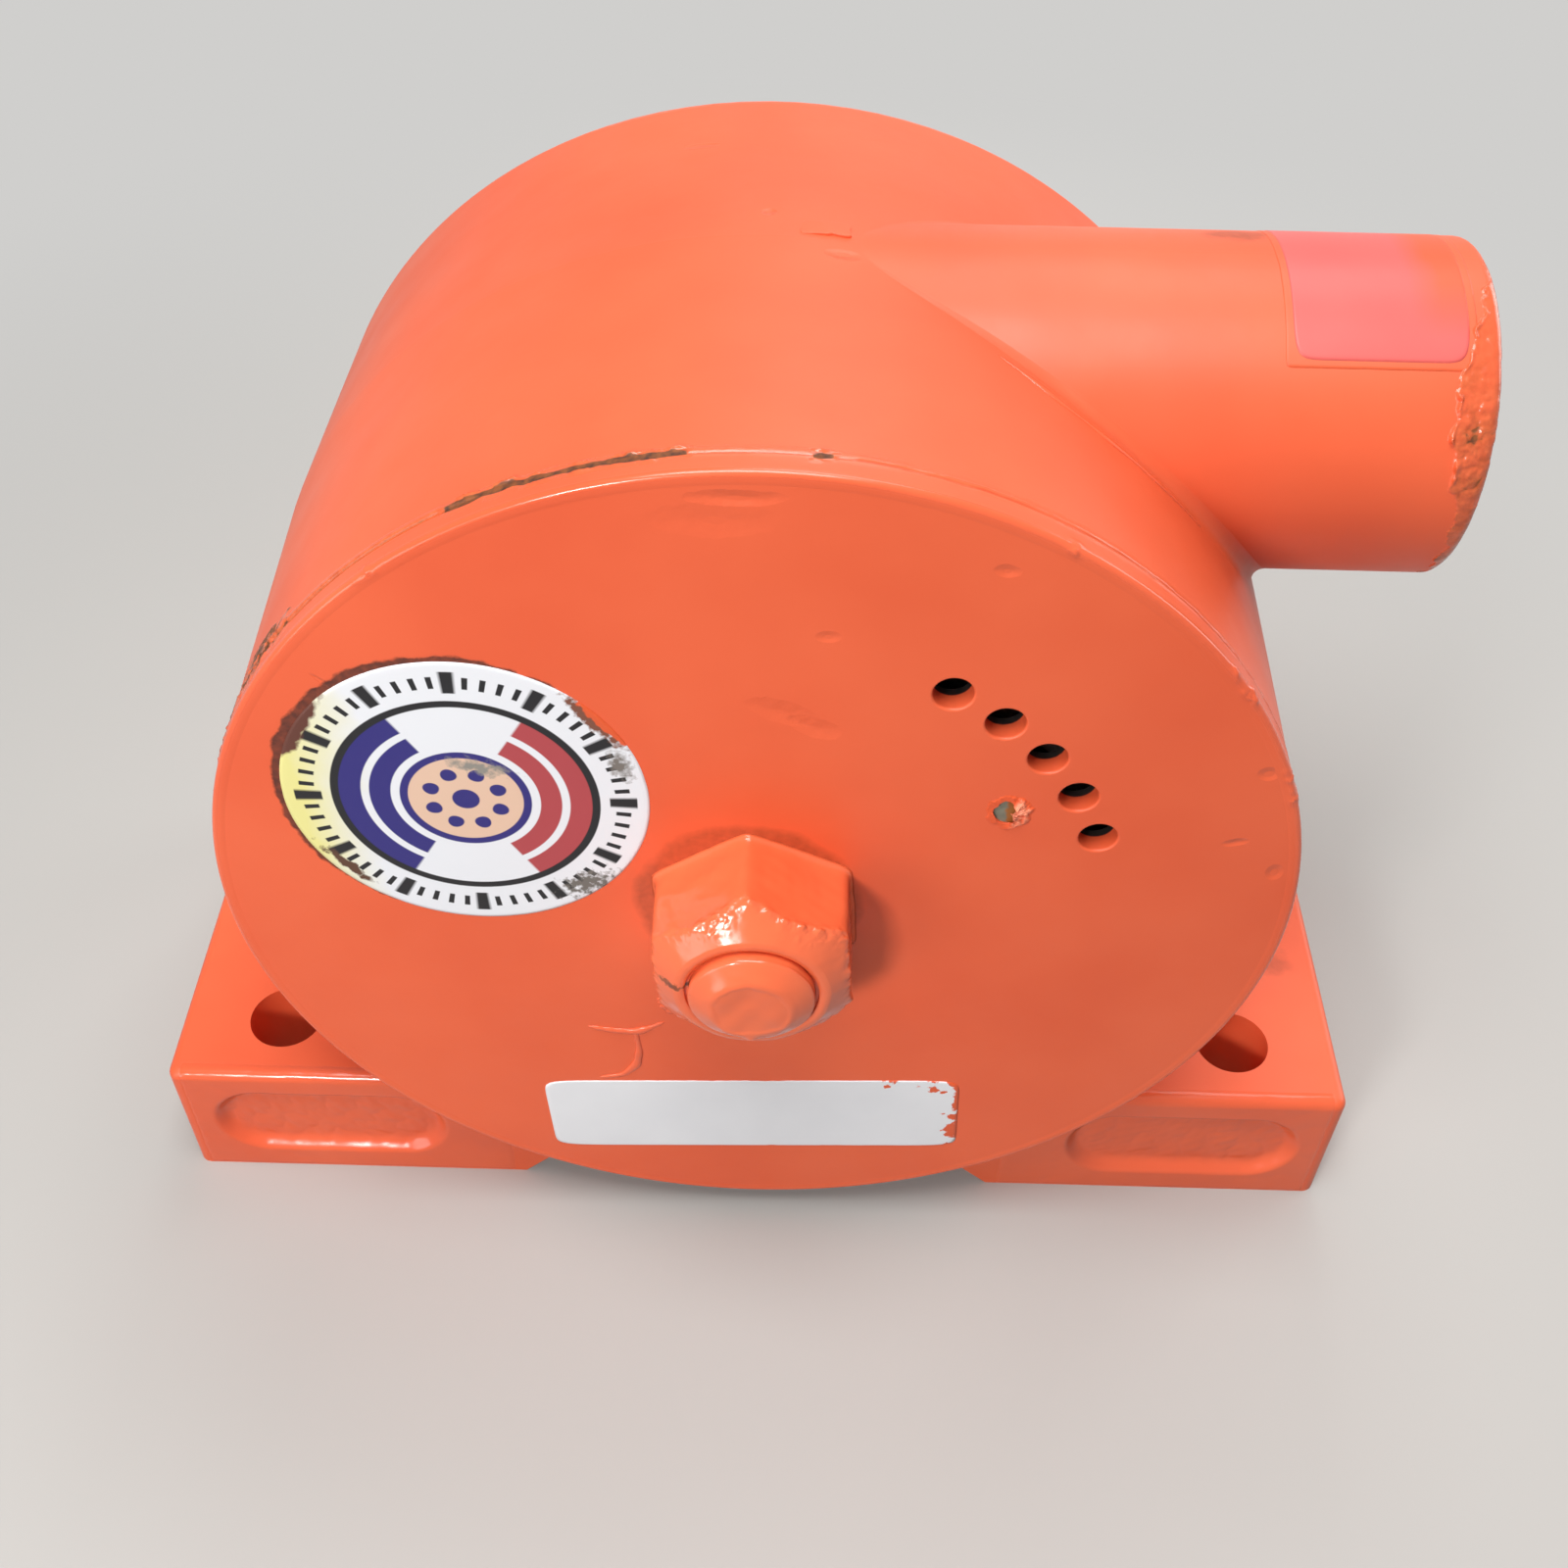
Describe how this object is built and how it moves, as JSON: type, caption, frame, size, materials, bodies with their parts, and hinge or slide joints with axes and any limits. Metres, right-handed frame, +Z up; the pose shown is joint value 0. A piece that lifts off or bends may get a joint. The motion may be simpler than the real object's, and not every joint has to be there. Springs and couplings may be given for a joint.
{
  "type": "pneumatic vibration motor",
  "caption": "Cast pneumatic turbine vibrator: a drum on two drilled feet with a tangential air inlet, a bolted disc cover with exhaust holes and an unbalanced bucket wheel inside.",
  "frame": {"origin": "centre of the four mounting holes on the plane that the feet stand on", "axes": "+X to the air inlet side, +Y to the rear, +Z up; the spin axis runs along Y"},
  "size_m": [0.216, 0.1392, 0.1729],
  "materials": {
    "orange_enamel": "glossy orange enamel over cast iron and steel, chipped at the edges",
    "bare_steel": "plain turned steel",
    "bearing_steel": "ground bearing steel",
    "cast_aluminium": "machined aluminium",
    "seal_rubber": "matte black rubber",
    "lock_nylon": "natural nylon"
  },
  "bodies": {
    "casing": {"housing": "orange_enamel", "front_cover": "orange_enamel", "cover_plug": "bare_steel", "cover_seal": "seal_rubber", "centre_bolt": "orange_enamel", "bolt_washer": "orange_enamel", "lock_nut": "orange_enamel", "lock_nut_insert": "lock_nylon", "front_end_spacer": "bare_steel", "bearing_spacer": "bare_steel", "rear_end_spacer": "bare_steel", "front_bearing_inner_race": "bearing_steel", "rear_bearing_inner_race": "bearing_steel"},
    "rotor": {"rotor_wheel": "cast_aluminium", "rotor_weights": "bare_steel", "front_snap_ring": "bearing_steel", "rear_snap_ring": "bearing_steel", "front_bearing_outer_race": "bearing_steel", "rear_bearing_outer_race": "bearing_steel", "front_bearing_shields": "bearing_steel", "rear_bearing_shields": "bearing_steel"},
    "front_ball_set": {"front_bearing_balls": "bearing_steel", "front_bearing_cage": "bearing_steel"},
    "rear_ball_set": {"rear_bearing_balls": "bearing_steel", "rear_bearing_cage": "bearing_steel"}
  },
  "joints": [
    {"name": "rotor_spin", "type": "hinge", "parent": "casing", "child": "rotor", "pos_m": [0, 0, 0.0889], "axis": [0, -1, 0], "continuous": true},
    {"name": "front_cage_roll", "type": "hinge", "parent": "casing", "child": "front_ball_set", "pos_m": [0, 0, 0.0889], "axis": [0, -1, 0], "continuous": true},
    {"name": "rear_cage_roll", "type": "hinge", "parent": "casing", "child": "rear_ball_set", "pos_m": [0, 0, 0.0889], "axis": [0, -1, 0], "continuous": true}
  ],
  "couplings": [
    {"joint": "front_cage_roll", "follows": "rotor_spin", "ratio": 0.625},
    {"joint": "rear_cage_roll", "follows": "rotor_spin", "ratio": 0.625}
  ]
}
